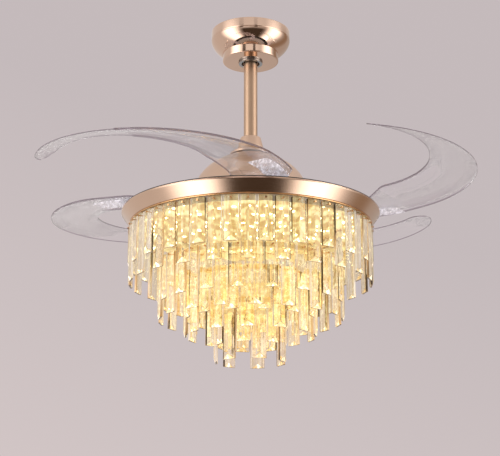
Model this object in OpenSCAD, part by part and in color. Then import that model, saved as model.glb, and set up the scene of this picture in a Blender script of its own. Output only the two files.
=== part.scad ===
// Ceiling fan with four clear blades that fold away above a round crystal lamp.
// Millimetres, +Z up. The origin is the centre of the bracket's ceiling face, so
// everything hangs below z = 0. The blades are drawn open, as they run.

/* [Ceiling bracket] */
// Diameter of the bracket's ceiling plate
bracket_d = 124; // [112:1:136]
// Thickness of the bracket's plate, legs and ears
bracket_t = 2.5; // [2:0.1:3]
// Spacing of the two screw slots, for a common ceiling box
slot_spacing = 88.9; // [70:0.1:95]
// Width of a screw slot
slot_w = 5.5; // [4.5:0.1:6.5]
// Length of a screw slot
slot_l = 14; // [10:0.5:18]
// Width of the two legs that carry the socket
leg_w = 30; // [20:1:36]

/* [Ball joint] */
// Diameter of the hanger ball
ball_d = 42; // [40:0.5:44]
// Depth of the ball's centre below the ceiling
ball_depth = 46; // [44:0.5:48]
// Thickness of the nylon ball seat
seat_t = 2; // [1.5:0.1:2.4]
// Diameter of the socket's lower opening
socket_bore = 37; // [36:0.2:38]
// Wall of the socket's lower collar
socket_lip = 5.2; // [4:0.1:5.5]
// How far the socket's collar shows below the canopy
socket_drop = 4; // [2:0.5:6]
// Radius of the lugs that the seat tilts on
lug_r = 1.5; // [1.2:0.1:1.8]

/* [Canopy] */
// Diameter of the canopy at the ceiling
canopy_d = 158; // [154:1:170]
// Height of the canopy
canopy_h = 63; // [60:1:70]
// Sheet thickness of the canopy
canopy_wall = 1.2; // [0.8:0.1:1.6]
// Height of the straight wall below the canopy's rim
canopy_rim_h = 20; // [16:1:24]
// Diameter of the narrow band at the canopy's foot
canopy_band_d = 112; // [108:1:118]
// Height of the narrow band
canopy_band_h = 16; // [10:1:18]
// Diameter of the hole that the rod hangs through
canopy_hole_d = 48.6; // [48:0.2:52]
// Depth of the bead line rolled round the wall
bead_depth = 0.8; // [0.4:0.1:1]
// Gap between the canopy's rim and the ceiling
canopy_gap = 1; // [0.5:0.1:2]

/* [Downrod] */
// Outside diameter of the downrod
rod_d = 27; // [25:0.1:28]
// Wall of the downrod
rod_wall = 2; // [1.5:0.1:2.5]
// Length of rod that shows between the canopy and the coupling cover
rod_show = 162; // [80:1:400]
// Diameter of the cross pins in the ball and in the coupling
pin_d = 6; // [5:0.1:7]
// Diameter of the supply cable inside the rod
cable_d = 5; // [4:0.1:5.6]

/* [Coupling and its cover] */
// Diameter of the cover's top edge
cover_top_d = 40; // [40:0.5:44]
// Diameter of the cover where its flare begins
cover_neck_d = 50; // [46:0.5:52]
// Diameter of the cover's lower lip
cover_lip_d = 82; // [70:1:90]
// Height of the cover
cover_h = 37; // [34:0.5:42]
// Height of the cover above its flare
cover_neck_h = 20; // [18:0.5:22]
// Sheet thickness of the cover
cover_wall = 1.2; // [0.8:0.1:1.4]
// Outside diameter of the coupling that grips the rod
yoke_d = 34; // [33:0.2:35]
// Gap between the still cover and the turning dome
spin_gap = 2.5; // [2.2:0.1:4]

/* [Dome] */
// Diameter of the dome level with the motor's end plate
dome_d = 211; // [200:1:220]
// Diameter of the dome's flat top
dome_top_d = 80; // [76:1:90]
// Height of the dome down to there
dome_h = 53; // [46:1:60]
// How far the dome's skirt runs on below, round the motor
dome_skirt_h = 23; // [12:0.5:24]
// Sheet thickness of the dome
dome_wall = 1.2; // [0.8:0.1:2]

/* [Motor] */
// Outside diameter of the turning motor housing
motor_d = 156; // [150:1:160]
// Wall of the motor housing
motor_wall = 4; // [3.5:0.1:5]
// Thickness of the magnets
magnet_t = 5; // [4:0.1:6]
// Air gap between the magnets and the stator
air_gap = 1; // [0.6:0.1:1.5]
// Height of the stator's laminations
stator_h = 26; // [20:1:28]
// Number of stator teeth
stator_teeth = 12; // [9:3:12]
// Number of magnets
magnet_n = 14; // [10:2:16]
// Outside diameter of the hollow motor shaft
shaft_d = 15; // [14:0.5:16]
// Bore of the shaft for the cable
shaft_bore = 7.8; // [7:0.1:8.4]
// Outside diameter of a ball bearing
bearing_d = 32; // [30:0.5:34]
// Width of a ball bearing
bearing_w = 9; // [8:0.5:10]
// Number of balls in a bearing
bearing_balls_n = 9; // [7:1:9]

/* [Blades] */
// Number of blades
blade_n = 4; // [3:1:4]
// Distance of a blade's pivot from the fan's axis
pivot_r = 175; // [173:1:177]
// Outer radius of the folded blades
fold_r = 235; // [230:1:237]
// Angle that a blade swings through from folded to open
swing = 84; // [70:1:88]
// Direction of the first blade's pivot in the rest pose
first_pivot = 6.8; // [-20:0.1:20]
// Height of the bay that the blades fold into
bay_h = 57.5; // [54:0.5:64]
// Thickness of the blade at its root
root_t = 4; // [3.5:0.1:4.5]
// Thickness of the rims along the blade's edges
rim_t = 4.4; // [3:0.1:5]
// Thickness of the clear web between the rims
web_t = 2; // [1.5:0.1:2.5]
// Width of the rims
rim_w = 22; // [12:0.5:24]
// Angle round the fold at which the tip section is joined on
tip_joint = 108; // [95:1:120]
// Angle round the fold at which the blade ends
tip_end = 177; // [165:1:179]
// Radius of the blade's inner edge beside its root, before it narrows there
inner_root_r = 84; // [82:1:110]
// How much the blade narrows towards its root
root_narrow = 36; // [0:1:45]
// Radius that the inner edge has reached at the tip
inner_tip_r = 200; // [180:1:216]
// Rise of the outer edge in each radian round the fold
rise = 6.1; // [5:0.1:8]
// Growth of that rise with the square of the angle
rise_growth = 1; // [0.5:0.1:1.4]
// Lift of the inner edge over the outer edge
pitch_lift = 10.5; // [8:0.5:13]
// Growth of the lift in each radian
lift_growth = 3.5; // [1:0.1:4]
// How far the tip settles back from that lift
tip_settle = 7.5; // [0:0.5:10]
// Angle round the fold that the hub's arm reaches under the blade
arm_reach = 36; // [24:1:38]
// Inner radius of that arm
arm_in_r = 182; // [178:1:190]
// Outer radius of that arm
arm_out_r = 222; // [212:1:224]
// Diameter of the pivot bolts' shoulders
pivot_d = 8; // [7:0.5:9]

/* [Blade linkage] */
// Gear module of the sync ring and of the blade hubs
gear_module = 2; // [2:1:2]
// Teeth that a whole blade gear would have
hub_teeth = 28; // [26:1:30]
// Thickness of the gears
gear_t = 4.7; // [4:0.1:4.8]
// Radial width of the sync ring
sync_w = 12; // [9:0.5:14]

/* [Lamp ring] */
// Diameter of the lamp's ring band
band_d = 500; // [490:1:520]
// How far the band's lower edge lies inside its upper edge
band_taper = 15.5; // [13:0.5:17]
// Height of the band
band_h = 24; // [22:1:30]
// Height of the band's upright edge, above its straight slope
band_upright_h = 3; // [2:0.5:6]
// Sheet thickness of the band
band_wall = 1.5; // [1:0.1:2]
// Diameter of the bead wire under the band
bead_d = 3.2; // [2.4:0.1:4]
// Thickness of the lamp's black top tray
tray_t = 2; // [1.5:0.1:2.5]
// Running gap between the rotor plate and the tray
tray_gap = 4; // [3:0.5:6]
// Thickness of the rotor plate
plate_t = 2; // [1.5:0.1:2.5]
// Thickness of the light panel
panel_t = 1.5; // [1:0.1:2]

/* [Crystals] */
// Width of a crystal bar
bar_w = 27; // [22:0.5:27.5]
// Thickness of a crystal bar
bar_t = 8; // [6:0.5:9]
// Thickness of a bar at its two sides
bar_side_t = 4.5; // [3:0.5:5.5]
// Length of the short bars
short_l = 82; // [60:1:90]
// Length of the long bars
long_l = 114; // [96:1:130]
// Height of the three-cornered facet at a bar's foot
facet_h = 10; // [6:0.5:14]
// How far the first tier's circle of bars lies inside the band's lower edge
tier_1_inset = 2.5; // [1.5:0.5:3.5]
// Step in radius from the first tier to the second
tier_2_step = 57; // [50:1:58]
// Step in radius from the second tier to the third
tier_3_step = 51; // [45:1:53]
// Step in radius from the third tier to the fourth
tier_4_step = 58; // [50:1:59]
// Drop of the first tier's tops below the band
tier_1_drop = 4.5; // [4:0.5:8]
// Direction of a long bar in the first tier
tier_1_turn = -91; // [-120:0.1:-60]
// Direction of a long bar in the second tier
tier_2_turn = -87.2; // [-120:0.1:-60]
// Direction of a long bar in the third tier
tier_3_turn = -92.4; // [-120:0.1:-60]
// Direction of a long bar in the fourth tier
tier_4_turn = -76; // [-120:0.1:-60]
// Drop of the second tier's tops below the first tier's
tier_2_drop = 69; // [60:1:76]
// Drop of the third tier's tops below the second tier's
tier_3_drop = 29.5; // [20:0.5:40]
// Drop of the fourth tier's tops below the third tier's
tier_4_drop = 49; // [40:1:60]
// Diameter of the rods that carry the hoops
strut_d = 3.6; // [3:0.1:3.9]

/* [Hidden] */
$fn = 96;

run_fit = 0.05;       // radial clearance of a running fit
gap = 0.3;            // least gap between pieces that move past each other
screw_r = 2;          // M4 shank
screw_head_r = 3.8;   // M4 pan head
screw_head_h = 2;

// Levels, from the ceiling down.
canopy_foot_z = -(canopy_gap + canopy_h);
ball_z = -ball_depth;
rod_top_z = ball_z + 22;
cover_top_z = canopy_foot_z - rod_show;
cover_foot_z = cover_top_z - cover_h;
dome_top_z = cover_foot_z - spin_gap;
dome_rim_z = dome_top_z - dome_h;
plate_top_z = dome_rim_z - bay_h;
plate_foot_z = plate_top_z - plate_t;
tray_top_z = plate_foot_z - tray_gap;
band_top_z = tray_top_z - tray_t;
band_foot_z = band_top_z - band_h;
panel_foot_z = band_foot_z + band_wall;
end_plate_top_z = dome_rim_z - 4;
end_plate_t = 3;
housing_top_z = end_plate_top_z - end_plate_t;
lower_bearing_z = plate_top_z;
upper_bearing_z = housing_top_z - bearing_w;
stator_mid_z = (lower_bearing_z + bearing_w + upper_bearing_z) / 2;

// Radii that follow from one another.
band_foot_d = band_d - 2 * band_taper;
rod_r = rod_d / 2;
ball_r = ball_d / 2;
seat_in_r = ball_r + run_fit;
seat_out_r = seat_in_r + seat_t;
socket_in_r = seat_out_r + run_fit;
socket_collar_r = socket_bore / 2 + socket_lip;
socket_foot_z = canopy_foot_z - socket_drop;
yoke_top_z = cover_top_z - cover_wall;
yoke_foot_z = cover_foot_z + 1;
rod_foot_z = yoke_foot_z + 10;
shaft_top_z = rod_foot_z - 4;
clevis_z = yoke_top_z - 10;
housing_in_r = motor_d / 2 - motor_wall;
magnet_in_r = housing_in_r - magnet_t;
stator_r = magnet_in_r - air_gap;
shaft_r = shaft_d / 2;
race_mid_r = (shaft_r + bearing_d / 2) / 2;
bearing_ball_r = (bearing_d / 2 - shaft_r) * 0.28;
race_gap = (bearing_d / 2 - shaft_r) * 0.3;
tray_nut_h = 8;
shaft_foot_z = band_top_z - tray_nut_h - 1;

// Gears: the whole ring would have sync_teeth teeth.
gear_pitch_r = gear_module * hub_teeth / 2;
sync_pitch_r = pivot_r - gear_pitch_r;
sync_step = 360 * gear_module / (2 * sync_pitch_r);
hub_step = 360 / hub_teeth;
gear_foot_z = plate_top_z + gap;
gear_top_z = gear_foot_z + gear_t;
tooth_up = gear_module * 0.8;
tooth_down = gear_module * 1.1;
sync_root_r = sync_pitch_r - tooth_down;
sync_in_r = sync_root_r - sync_w;
sync_swing = swing * gear_pitch_r / sync_pitch_r;

// The blade's flat root lies on the hub's flange.
flange_t = 1.5;
root_foot_z = gear_top_z + gap + flange_t;
root_mid_z = root_foot_z + root_t / 2;
hub_flange_r = 32;
hub_spigot_r = pivot_d / 2 + 4;
root_pad_r = 44;
blade_screw_r = 21;
spring_r = hub_spigot_r + 3.5;

// Tiers: radius and top level, and as many bars as fit side by side, in pairs.
bar_gap = 2.5;
tier_1_r = band_foot_d / 2 - tier_1_inset;
tier_2_r = tier_1_r - tier_2_step;
tier_3_r = tier_2_r - tier_3_step;
tier_4_r = tier_3_r - tier_4_step;
tier_r = [tier_1_r, tier_2_r, tier_3_r, tier_4_r];
tier_turn = [tier_1_turn, tier_2_turn, tier_3_turn, tier_4_turn];
tier_1_top_z = band_foot_z - tier_1_drop;
tier_top_z = [tier_1_top_z, tier_1_top_z - tier_2_drop, tier_1_top_z - tier_2_drop - tier_3_drop,
    tier_1_top_z - tier_2_drop - tier_3_drop - tier_4_drop];
function tier_count(i) = 2 * floor(PI * tier_r[i] / (bar_w + bar_gap));
hook_drop = 5;
hook_r = 1;
hoop_t = 2.5;
hoop_h = 8;
function hoop_out_r(i) = tier_r[i] - bar_t / 2 - 0.5;
strut_n = 4;

function bezier_at(a, b, c, t) = (1 - t) * (1 - t) * a + 2 * t * (1 - t) * b + t * t * c;
function bezier(a, b, c, n = 16) = [for (i = [0:n]) bezier_at(a, b, c, i / n)];
function reversed(list) = [for (i = [len(list) - 1:-1:0]) list[i]];
function smooth(t) = let (s = min(1, max(0, t))) s * s * (3 - 2 * s);

module at_pivots() {
    for (i = [0:blade_n - 1])
        rotate(first_pivot - i * 360 / blade_n) translate([pivot_r, 0, 0]) children();
}

module ring(outer, inner, height) {
    difference() {
        cylinder(r = outer, h = height);
        translate([0, 0, -1]) cylinder(r = inner, h = height + 2);
    }
}

module pan_screw(shank_r, length, head_r, head_h) {
    translate([0, 0, -length]) cylinder(r = shank_r, h = length, $fn = 32);
    cylinder(r1 = head_r, r2 = head_r * 0.75, h = head_h, $fn = 32);
}

// Canopy and ceiling bracket ------------------------------------------------

// Length of the cuts that make screw holes, more than any sheet's thickness
drill_h = 20;

// The shoulder is a curve from the wall to the waist, with its screws where it slopes at 45 degrees.
wall_foot_z = -canopy_gap - canopy_rim_h;
waist_z = canopy_foot_z + canopy_band_h;
waist_r = canopy_band_d / 2 + 1;
shoulder = [[canopy_d / 2, wall_foot_z], [canopy_d / 2 - 3, (wall_foot_z + waist_z) / 2 - 0.5],
    [waist_r, waist_z]];
seat_start = shoulder[1] - shoulder[0];
seat_end = shoulder[2] - shoulder[1];
seat_at = (seat_start.x - seat_start.y) / (seat_start.x - seat_start.y - seat_end.x + seat_end.y);
seat = bezier_at(shoulder[0], shoulder[1], shoulder[2], seat_at);
tab_gap = 1.4;
tab_half = 5;
tab_w = 12;
tab_root = 8;
arm_spare = 0.6;
tab_mid = seat - [1, -1] * (canopy_wall + tab_gap + bracket_t / 2) * cos(45);
ear_out_r = tab_mid.x + tab_half * cos(45) + 0.6;

module canopy_screw_places() {
    for (a = [45:90:315]) rotate(a) translate([seat.x, 0, seat.y]) rotate([0, 135, 0]) children();
}

leg_in_r = socket_in_r + 1.6;
socket_band_h = 12;
socket_top_z = ball_z + lug_r + 3;
wire_hole_d = 30;

// The socket's section: its inside follows the seat, then runs straight down to the collar's foot.
module socket_section() {
    difference() {
        union() {
            translate([0, ball_z - socket_band_h])
                square([leg_in_r + 0.6, socket_top_z - ball_z + socket_band_h]);
            translate([0, socket_foot_z])
                square([socket_collar_r, ball_z - socket_band_h + 1 - socket_foot_z]);
        }
        translate([0, ball_z]) circle(r = socket_in_r);
        translate([0, ball_z]) square([socket_in_r, socket_top_z - ball_z + 1]);
        translate([0, socket_foot_z - 1]) square([socket_bore / 2, socket_band_h]);
    }
}

// The plate with its four arms, each a little wider and longer than the tab bent down from it.
module plate_outline() {
    circle(d = bracket_d);
    for (a = [45:90:315]) rotate(a) translate([bracket_d / 2 - tab_root, -tab_w / 2 - arm_spare])
        square([ear_out_r + arm_spare - bracket_d / 2 + tab_root, tab_w + 2 * arm_spare]);
}

// A tab goes straight down from its arm, and its end is turned square to the canopy's screw.
module tab_section() {
    along = tab_half * [cos(45), sin(45)];
    out = bracket_t / 2 * [cos(45), -sin(45)];
    outer = ear_out_r - tab_mid.x - out.x;
    inner = ear_out_r - bracket_t - tab_mid.x + out.x;
    polygon([[ear_out_r, -bracket_t / 2], [ear_out_r - bracket_t, -bracket_t / 2],
        tab_mid - out + [inner, inner], tab_mid - out - along, tab_mid + out - along,
        tab_mid + out + [outer, outer]]);
}

module ceiling_bracket() {
    color("silver") difference() {
        union() {
            translate([0, 0, -bracket_t]) linear_extrude(bracket_t) plate_outline();
            for (a = [45:90:315]) rotate(a) rotate([90, 0, 0])
                linear_extrude(tab_w, center = true) tab_section();
            for (m = [0, 1]) mirror([m, 0, 0]) translate([leg_in_r, -leg_w / 2, ball_z - socket_band_h / 2])
                cube([bracket_t, leg_w, ball_depth + socket_band_h / 2 - bracket_t / 2]);
            rotate_extrude() socket_section();
        }
        translate([-rod_r - 1, 0, socket_foot_z - 1])
            cube([rod_d + 2, leg_in_r + bracket_t, socket_top_z - socket_foot_z + 2]);
        translate([-leg_in_r - 2 * bracket_t, 0, ball_z]) rotate([0, 90, 0])
            cylinder(r = lug_r + run_fit, h = 2 * leg_in_r + 4 * bracket_t, $fn = 32);
        for (m = [0, 1]) mirror([m, 0, 0]) translate([slot_spacing / 2, 0, -bracket_t - 1])
            slot(slot_l, slot_w, bracket_t + 2);
        translate([0, 0, -bracket_t - 1]) cylinder(d = wire_hole_d, h = bracket_t + 2);
        canopy_screw_places() cylinder(r = screw_r, h = drill_h, center = true, $fn = 32);
    }
}

module slot(length, width, height) {
    translate([-(length - width) / 2, -width / 2, 0]) cube([length - width, width, height]);
    for (x = [-1, 1]) translate([x * (length - width) / 2, 0, 0]) cylinder(d = width, h = height, $fn = 48);
}

function canopy_profile(inset) = let (a = shoulder[0] - [inset, 0], b = shoulder[1] - [inset, 0],
    c = shoulder[2] - [inset, -inset]) concat(bezier(a, b, c), [[canopy_band_d / 2 - inset, waist_z + inset],
    [canopy_band_d / 2 - inset, canopy_foot_z + inset]]);

module canopy() {
    bead_z = wall_foot_z + 2 * bead_depth;
    color("#cf9a78") difference() {
        rotate_extrude() polygon(concat([[canopy_d / 2, -canopy_gap],
            [canopy_d / 2, bead_z + bead_depth], [canopy_d / 2 - bead_depth, bead_z],
            [canopy_d / 2, bead_z - bead_depth]], canopy_profile(0), [[canopy_hole_d / 2, canopy_foot_z],
            [canopy_hole_d / 2, canopy_foot_z + canopy_wall]], reversed(canopy_profile(canopy_wall)),
            [[canopy_d / 2 - canopy_wall, bead_z - bead_depth],
            [canopy_d / 2 - canopy_wall - bead_depth, bead_z],
            [canopy_d / 2 - canopy_wall, bead_z + bead_depth], [canopy_d / 2 - canopy_wall, -canopy_gap]]));
        canopy_screw_places() cylinder(r = screw_r + 0.1, h = drill_h, center = true, $fn = 32);
    }
}

module canopy_screws() {
    color("#d8a684") canopy_screw_places() pan_screw(screw_r, 9, screw_head_r, screw_head_h);
}

module remote_receiver() {
    receiver = [64, 24, 18];
    wire_in = 10;
    color("ivory") translate([-receiver.x / 2, 33, -bracket_t - receiver.z]) difference() {
        cube(receiver);
        for (x = [wire_in, receiver.x - wire_in]) translate([x, -1, receiver.z / 2]) rotate([-90, 0, 0])
            cylinder(r = 2.5, h = 6, $fn = 32);
    }
}

// Ball joint and downrod ------------------------------------------------------

module ball_seat() {
    color("whitesmoke") translate([0, 0, ball_z]) {
        difference() {
            sphere(r = seat_out_r);
            sphere(r = seat_in_r);
            translate([-seat_out_r - 1, -seat_out_r - 1, lug_r + 2]) cube(2 * seat_out_r + 2);
            translate([0, 0, -seat_out_r - 1]) cylinder(d = socket_bore, h = seat_out_r + 1);
        }
        for (m = [0, 1]) mirror([m, 0, 0]) rotate([0, 90, 0])
            translate([0, 0, seat_in_r + 0.5]) cylinder(r = lug_r, h = seat_t + 1.4, $fn = 32);
        for (m = [0, 1]) mirror([0, m, 0]) rotate([-90, 0, 0])
            translate([0, 0, seat_in_r - 1.5]) cylinder(r = lug_r, h = 2.5, $fn = 32);
    }
}

pin_z = ball_z + 14;

// A hole right across the rod and what is on it, along X, or along Y where it is turned by 90.
module cross_hole(z, d, sides, turn = 0) {
    translate([0, 0, z]) rotate(turn) rotate([0, 90, 0])
        cylinder(d = d, h = 2 * ball_d, center = true, $fn = sides);
}

module hanger_ball() {
    color("dimgray") difference() {
        translate([0, 0, ball_z]) sphere(r = ball_r);
        translate([0, 0, ball_z]) cylinder(r = rod_r + run_fit, h = 2 * ball_d, center = true);
        translate([-ball_r - 1, -ball_r - 1, pin_z]) cube(ball_d + 2);
        cross_hole(pin_z, pin_d, 48);
        cross_hole(ball_z, 2 * (lug_r + run_fit), 32, 90);
    }
}

module hanger_pin() {
    color("gray") translate([-17, 0, pin_z]) rotate([0, 90, 0]) cylinder(d = pin_d, h = 34, $fn = 48);
}

module downrod() {
    color("#c9a06e") difference() {
        translate([0, 0, rod_foot_z]) cylinder(r = rod_r, h = rod_top_z - rod_foot_z);
        translate([0, 0, rod_foot_z - 1]) cylinder(r = rod_r - rod_wall, h = rod_top_z - rod_foot_z + 2);
        for (z = [pin_z, clevis_z]) cross_hole(z, pin_d, 48);
    }
}

// Coupling, cover and shaft -----------------------------------------------------

module motor_yoke() {
    color("gray") difference() {
        translate([0, 0, yoke_foot_z]) cylinder(d = yoke_d, h = yoke_top_z - yoke_foot_z);
        translate([0, 0, rod_foot_z]) cylinder(r = rod_r + run_fit, h = yoke_top_z - rod_foot_z + 1);
        translate([0, 0, shaft_top_z]) cylinder(r = rod_r - rod_wall, h = rod_foot_z - shaft_top_z + 1);
        translate([0, 0, yoke_foot_z - 1]) cylinder(r = shaft_r, h = shaft_top_z - yoke_foot_z + 2);
        cross_hole(clevis_z, pin_d, 48);
        cross_hole(clevis_z, 2 * screw_r, 32, 90);
    }
}

clevis_half = yoke_d / 2 + 2.6;

module clevis_pin() {
    color("silver") difference() {
        translate([-clevis_half, 0, clevis_z]) rotate([0, 90, 0])
            cylinder(d = pin_d, h = 2 * clevis_half, $fn = 48);
        translate([clevis_half - 1.4, 0, clevis_z - 10]) cylinder(r = 0.8, h = 20, $fn = 24);
    }
}

module cotter_pin() {
    color("lightgray") translate([clevis_half - 1.4, 0, clevis_z - 5]) {
        cylinder(r = 0.75, h = 10, $fn = 24);
        translate([0, 0, 10]) sphere(r = 1.1, $fn = 24);
    }
}

module set_screws() {
    color("dimgray") for (m = [0, 1]) mirror([0, m, 0]) translate([0, rod_r, clevis_z])
        rotate([-90, 0, 0]) cylinder(r = screw_r, h = yoke_d / 2 - rod_r + 0.8, $fn = 32);
}

function cover_profile(inset) = let (top = cover_top_d / 2 - inset, neck = cover_neck_d / 2 - inset,
    lip = cover_lip_d / 2 - inset, neck_z = cover_top_z - cover_neck_h)
    concat([[top, cover_top_z]], [[neck, neck_z]],
        bezier([neck, neck_z - 1], [neck + 2, cover_foot_z + 6 - inset], [lip, cover_foot_z + 4 - inset]),
        [[lip, cover_foot_z]]);

module coupling_cover() {
    color("#c9a06e") rotate_extrude() polygon(concat([[rod_r + 0.4, cover_top_z]], cover_profile(0),
        reversed(cover_profile(cover_wall)), [[rod_r + 0.4, cover_top_z - cover_wall]]));
}

module motor_shaft() {
    color("silver") difference() {
        union() {
            translate([0, 0, shaft_foot_z]) cylinder(r = shaft_r, h = shaft_top_z - shaft_foot_z);
            translate([0, 0, housing_top_z]) cylinder(r = shaft_r + 2, h = 6);
        }
        translate([0, 0, shaft_foot_z - 1]) cylinder(d = shaft_bore, h = shaft_top_z - shaft_foot_z + 2);
    }
}

// The cable comes down the side of the rod, past both pins, and then down the shaft.
cable_offset = 7;
cable_bend_r = 8;
cable_bend_a = acos(1 - cable_offset / (2 * cable_bend_r));
cable_turn_r = 4;
cable_top_z = rod_top_z + 4;
cable_turn_z = shaft_foot_z - 1;
driver_x = 28;

// A ring of the cable: its middle, and how far it leans towards +Y and towards +X.
cable_corners = 16;
function cable_ring(p, lean_y, lean_x) = let (side = [cos(lean_x), 0, sin(lean_x)],
    front = [0, -cos(lean_y), -sin(lean_y)]) [for (k = [0:cable_corners - 1])
    let (a = 360 * k / cable_corners) p + cable_d / 2 * (side * cos(a) + front * sin(a))];

module supply_cable() {
    half_drop = cable_bend_r * sin(cable_bend_a);
    jog_z = shaft_top_z + 1 + 2 * half_drop;
    steps = [0:0.25:1];
    rings = concat([cable_ring([0, -cable_offset, cable_top_z], 0, 0)],
        [for (t = steps) let (a = cable_bend_a * t) cable_ring([0, -cable_offset
            + cable_bend_r * (1 - cos(a)), jog_z - cable_bend_r * sin(a)], a, 0)],
        [for (t = [0.25:0.25:1]) let (a = cable_bend_a * (1 - t)) cable_ring([0,
            -cable_bend_r * (1 - cos(a)), jog_z - 2 * half_drop + cable_bend_r * sin(a)], a, 0)],
        [for (t = steps) let (a = 90 * t) cable_ring([cable_turn_r * (1 - cos(a)), 0,
            cable_turn_z - cable_turn_r * sin(a)], 0, a)],
        [cable_ring([driver_x, 0, cable_turn_z - cable_turn_r], 0, 90)]);
    n = len(rings);
    m = cable_corners;
    sides = [for (i = [0:n - 2], j = [0:m - 1]) let (k = (j + 1) % m)
        [i * m + k, i * m + j, (i + 1) * m + j, (i + 1) * m + k]];
    color("dimgray") polyhedron([for (r = rings) each r], concat(sides,
        [[for (j = [0:m - 1]) j]], [[for (j = [m - 1:-1:0]) (n - 1) * m + j]]), convexity = 6);
}

module cable_connector() {
    color("white") translate([-6, -cable_offset - 4, cable_top_z]) cube([12, 8, 10]);
}

// Motor ---------------------------------------------------------------------------

module stator_core() {
    hub_r = stator_r * 0.45;
    tip_t = 4;
    tooth_w = 9;
    tip_half = 180 / stator_teeth - 2;
    wedge = stator_r * [cos(tip_half), sin(tip_half)] * 1.2;
    color("slategray") translate([0, 0, stator_mid_z - stator_h / 2]) linear_extrude(stator_h) {
        difference() {
            circle(r = hub_r);
            circle(r = shaft_r);
        }
        for (i = [0:stator_teeth - 1]) rotate(i * 360 / stator_teeth) {
            translate([hub_r - 1, -tooth_w / 2]) square([stator_r - tip_t / 2 - hub_r + 1, tooth_w]);
            intersection() {
                difference() {
                    circle(r = stator_r);
                    circle(r = stator_r - tip_t);
                }
                polygon([[0, 0], [wedge.x, -wedge.y], wedge]);
            }
        }
    }
}

module stator_windings() {
    hub_r = stator_r * 0.45;
    coil_in = hub_r + 2;
    coil_out = stator_r - 5;
    coil_w = 2 * (coil_in * tan(180 / stator_teeth) - 0.6);
    color("#b8632f") for (i = [0:stator_teeth - 1]) rotate(i * 360 / stator_teeth)
        translate([coil_in, 0, stator_mid_z]) difference() {
            translate([0, -coil_w / 2, -stator_h / 2 - 3.5]) cube([coil_out - coil_in, coil_w, stator_h + 7]);
            translate([-1, -4.5, -stator_h / 2]) cube([coil_out - coil_in + 2, 9, stator_h]);
        }
}

module at_bearings() {
    for (z = [lower_bearing_z, upper_bearing_z]) translate([0, 0, z + bearing_w / 2]) children();
}

module race(outer, inner, groove_r) {
    rotate_extrude() difference() {
        translate([inner, -bearing_w / 2]) square([outer - inner, bearing_w]);
        translate([race_mid_r, 0]) circle(r = groove_r, $fn = 48);
    }
}

module bearing_inner_races() {
    color("silver") at_bearings() race(race_mid_r - race_gap / 2, shaft_r, bearing_ball_r + run_fit);
}

module bearing_outer_races() {
    color("silver") at_bearings() race(bearing_d / 2, race_mid_r + race_gap / 2, bearing_ball_r);
}

module bearing_balls() {
    color("white") at_bearings() for (i = [0:bearing_balls_n - 1]) rotate(i * 360 / bearing_balls_n)
        translate([race_mid_r, 0, 0]) sphere(r = bearing_ball_r, $fn = 32);
}

module magnets() {
    color("dimgray") for (i = [0:magnet_n - 1]) rotate(i * 360 / magnet_n)
        translate([0, 0, stator_mid_z - stator_h / 2 - 2]) rotate_extrude(angle = 360 / magnet_n - 3)
            translate([magnet_in_r, 0]) square([magnet_t, stator_h + 4]);
}

foot_w = 7;
foot_t = 3;
end_screw_r = 1.5;
housing_screw_r = motor_d / 2 + foot_w / 2;
bearing_boss_r = bearing_d / 2 + 4;
shaft_hole_r = bearing_d / 2 - 3;
dome_post_r = dome_top_d / 2 - 9;
dome_post_w = 5;
sync_screw_r = sync_in_r - 3.4;

module motor_housing() {
    color("#9a9a9c") difference() {
        union() {
            translate([0, 0, plate_top_z]) ring(motor_d / 2, housing_in_r, housing_top_z - plate_top_z);
            translate([0, 0, plate_top_z]) ring(motor_d / 2 + foot_w, housing_in_r, foot_t);
        }
        at_housing_screws() cylinder(r = screw_r, h = drill_h, center = true, $fn = 32);
        at_end_screws() cylinder(r = end_screw_r, h = drill_h, center = true, $fn = 32);
    }
}

module at_housing_screws() {
    for (a = [30:60:330]) rotate(a) translate([housing_screw_r, 0, plate_top_z + foot_t]) children();
}

module motor_end_plate() {
    color("#a8a8aa") difference() {
        union() {
            translate([0, 0, housing_top_z]) cylinder(d = motor_d, h = end_plate_t);
            translate([0, 0, upper_bearing_z]) cylinder(r = bearing_boss_r, h = bearing_w + 1);
            at_dome_screws() translate([0, 0, end_plate_top_z - end_plate_t / 2 - dome_top_z])
                cylinder(r = dome_post_w, h = dome_top_z - dome_wall - end_plate_top_z + end_plate_t / 2,
                    $fn = 48);
        }
        translate([0, 0, upper_bearing_z - 1]) cylinder(d = bearing_d, h = bearing_w + 1);
        translate([0, 0, upper_bearing_z]) cylinder(r = shaft_hole_r, h = bearing_w + 2 * end_plate_t);
        at_dome_screws() cylinder(r = screw_r, h = 24, center = true, $fn = 32);
        at_end_screws() cylinder(r = end_screw_r, h = drill_h, center = true, $fn = 32);
    }
}

module at_end_screws() {
    for (a = [0:60:300]) rotate(a) translate([motor_d / 2 - motor_wall / 2, 0, end_plate_top_z]) children();
}

module at_dome_screws() {
    for (a = [0:90:270]) rotate(a) translate([dome_post_r, 0, dome_top_z]) children();
}

// The skirt carries on the slope in which the dome's curve ends.
dome_shoulder_w = 14;
dome_slope = dome_shoulder_w / (dome_h * 0.62);
function dome_profile(inset) = let (top = [dome_top_d / 2 - inset * 0.3, dome_top_z - inset],
    rim = [dome_d / 2 - inset, dome_rim_z], bend = [rim.x - dome_shoulder_w + inset * 0.3,
    dome_top_z - dome_h * 0.38 - inset * 0.6])
    concat(bezier(top, bend, rim, 24), [rim + [dome_slope * dome_skirt_h, -dome_skirt_h]]);

module dome_cover() {
    color("#c8a183") difference() {
        rotate_extrude() polygon(concat([[shaft_hole_r + 7, dome_top_z]], dome_profile(0),
            reversed(dome_profile(dome_wall)), [[shaft_hole_r + 7, dome_top_z - dome_wall]]));
        at_dome_screws() cylinder(r = screw_r + 0.1, h = 10, center = true, $fn = 32);
    }
}

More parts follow.
